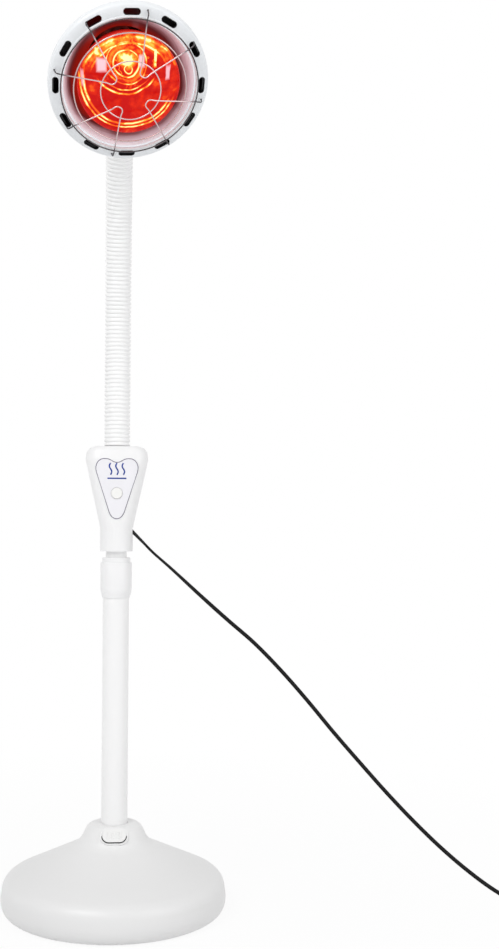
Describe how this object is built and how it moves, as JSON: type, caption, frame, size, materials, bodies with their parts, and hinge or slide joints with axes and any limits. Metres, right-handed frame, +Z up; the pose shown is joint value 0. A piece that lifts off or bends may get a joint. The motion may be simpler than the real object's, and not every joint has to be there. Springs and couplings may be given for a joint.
{
  "type": "infrared heat therapy floor lamp",
  "caption": "Floor-standing infrared heat lamp with a round weighted foot, telescopic post, control box, corrugated gooseneck and swivelling bell head with a wire guard.",
  "frame": {"origin": "on the floor, at the centre of the round foot, on the post's axis", "axes": "+Z up along the post, -Y towards the user and the way the head leans and shines, +X to the right as the user's side view of the front sees it"},
  "size_m": [0.8061, 0.4533, 1.1513],
  "materials": {
    "cover_plastic": "glossy",
    "pole_enamel": "glossy enamel",
    "body_plastic": "glossy",
    "ring_plastic": "glossy",
    "hose_plastic": "satin",
    "panel_film": "printed film, satin",
    "button_plastic": "satin",
    "black_rubber": "satin",
    "pad_rubber": "matte",
    "plate_steel": "zinc plated",
    "weight_iron": "rough",
    "inner_plastic": "matte",
    "grip_plastic": "matte",
    "screw_steel": "zinc plated",
    "link_alloy": "satin",
    "guard_wire": "polished",
    "reflector_metal": "polished",
    "holder_ceramic": "glazed",
    "cap_brass": "satin",
    "bulb_red": "red stained glass",
    "filament_metal": "bright",
    "board_laminate": "matte",
    "pin_metal": "bright"
  },
  "bodies": {
    "stand": {"base_pad": "pad_rubber", "base_plate": "plate_steel", "base_weight": "weight_iron", "base_cover": "cover_plastic", "base_screws": "screw_steel", "post_socket": "inner_plastic", "lower_post": "pole_enamel", "post_ferrule": "grip_plastic", "release_spring": "screw_steel", "cord_run": "black_rubber", "cord_coil": "black_rubber", "cord_tail": "black_rubber", "cord_tie": "black_rubber", "plug_body": "black_rubber", "plug_sleeves": "black_rubber", "plug_pins": "pin_metal"},
    "release_button": {"release_button": "cover_plastic"},
    "collar": {"lock_collar": "body_plastic"},
    "carriage": {"upper_post": "pole_enamel", "guide_bush": "inner_plastic", "box_front_shell": "body_plastic", "box_rear_shell": "body_plastic", "panel_overlay": "panel_film", "switch_body": "inner_plastic", "circuit_board": "board_laminate", "box_frame": "screw_steel", "post_clamp": "inner_plastic", "neck_anchor": "inner_plastic", "box_screws": "screw_steel", "strain_relief": "black_rubber", "neck_hose_1": "hose_plastic", "neck_core_1": "link_alloy"},
    "power_button": {"power_button": "button_plastic"},
    "neck_2": {"neck_hose_2": "hose_plastic", "neck_core_2": "link_alloy"},
    "neck_3": {"neck_hose_3": "hose_plastic", "neck_core_3": "link_alloy"},
    "neck_4": {"neck_hose_4": "hose_plastic", "neck_core_4": "link_alloy"},
    "neck_5": {"neck_hose_5": "hose_plastic", "neck_core_5": "link_alloy"},
    "neck_6": {"neck_hose_6": "hose_plastic", "neck_core_6": "link_alloy"},
    "neck_7": {"neck_hose_7": "hose_plastic", "neck_core_7": "link_alloy"},
    "neck_8": {"neck_hose_8": "hose_plastic", "neck_core_8": "link_alloy", "neck_top_ferrule": "link_alloy"},
    "head": {"swivel_nut": "cap_brass", "lamp_housing": "body_plastic", "rear_cap": "body_plastic", "front_ring": "ring_plastic", "reflector": "reflector_metal", "wire_guard": "guard_wire", "lampholder": "holder_ceramic", "holder_bracket": "plate_steel", "housing_screws": "screw_steel", "bulb_glass": "bulb_red", "bulb_cap": "cap_brass", "bulb_filament": "filament_metal"}
  },
  "joints": [
    {"name": "post_slide", "type": "slide", "parent": "stand", "child": "carriage", "axis": [0, 0, 1], "range_m": [0, 0.22]},
    {"name": "collar_twist", "type": "hinge", "parent": "stand", "child": "collar", "pos_m": [0, 0, 0.44], "axis": [0, 0, 1], "range_deg": [0, 90]},
    {"name": "release_press", "type": "slide", "parent": "stand", "child": "release_button", "axis": [0, 0.788, -0.6157], "range_m": [0, 0.003], "stiffness_N_per_m": 1500, "deforming": ["release_spring"]},
    {"name": "power_press", "type": "slide", "parent": "carriage", "child": "power_button", "axis": [0, 1, 0], "range_m": [0, 0.002], "stiffness_N_per_m": 800},
    {"name": "neck_pitch_1", "type": "hinge", "parent": "carriage", "child": "neck_2", "pos_m": [0, 0, 0.67227], "axis": [1, 0, 0], "range_deg": [-11.1, 11.5]},
    {"name": "neck_yaw_2", "type": "hinge", "parent": "neck_2", "child": "neck_3", "pos_m": [0, -0.00007, 0.72853], "axis": [0, 0.9998, 0.018], "range_deg": [-12, 12]},
    {"name": "neck_pitch_3", "type": "hinge", "parent": "neck_3", "child": "neck_4", "pos_m": [0, -0.00463, 0.78457], "axis": [1, 0, 0], "range_deg": [-11.1, 11.5]},
    {"name": "neck_yaw_4", "type": "hinge", "parent": "neck_4", "child": "neck_5", "pos_m": [0, -0.0162, 0.8396], "axis": [0, 0.9637, 0.267], "range_deg": [-12, 12]},
    {"name": "neck_pitch_5", "type": "hinge", "parent": "neck_5", "child": "neck_6", "pos_m": [0, -0.0346, 0.89273], "axis": [1, 0, 0], "range_deg": [-11.1, 11.5]},
    {"name": "neck_yaw_6", "type": "hinge", "parent": "neck_6", "child": "neck_7", "pos_m": [0, -0.05953, 0.94312], "axis": [0, 0.8665, 0.4992], "range_deg": [-12, 12]},
    {"name": "neck_pitch_7", "type": "hinge", "parent": "neck_7", "child": "neck_8", "pos_m": [0, -0.09062, 0.98998], "axis": [1, 0, 0], "range_deg": [-11.1, 11.5]},
    {"name": "head_swivel", "type": "hinge", "parent": "neck_8", "child": "head", "pos_m": [0, -0.12735, 1.03255], "axis": [0, -0.6997, 0.7145], "range_deg": [-97, 83]}
  ],
  "couplings": [
    {"joint": "neck_pitch_3", "follows": "neck_pitch_1", "ratio": 1},
    {"joint": "neck_pitch_5", "follows": "neck_pitch_1", "ratio": 1},
    {"joint": "neck_pitch_7", "follows": "neck_pitch_1", "ratio": 1},
    {"joint": "neck_yaw_4", "follows": "neck_yaw_2", "ratio": 1},
    {"joint": "neck_yaw_6", "follows": "neck_yaw_2", "ratio": 1}
  ]
}
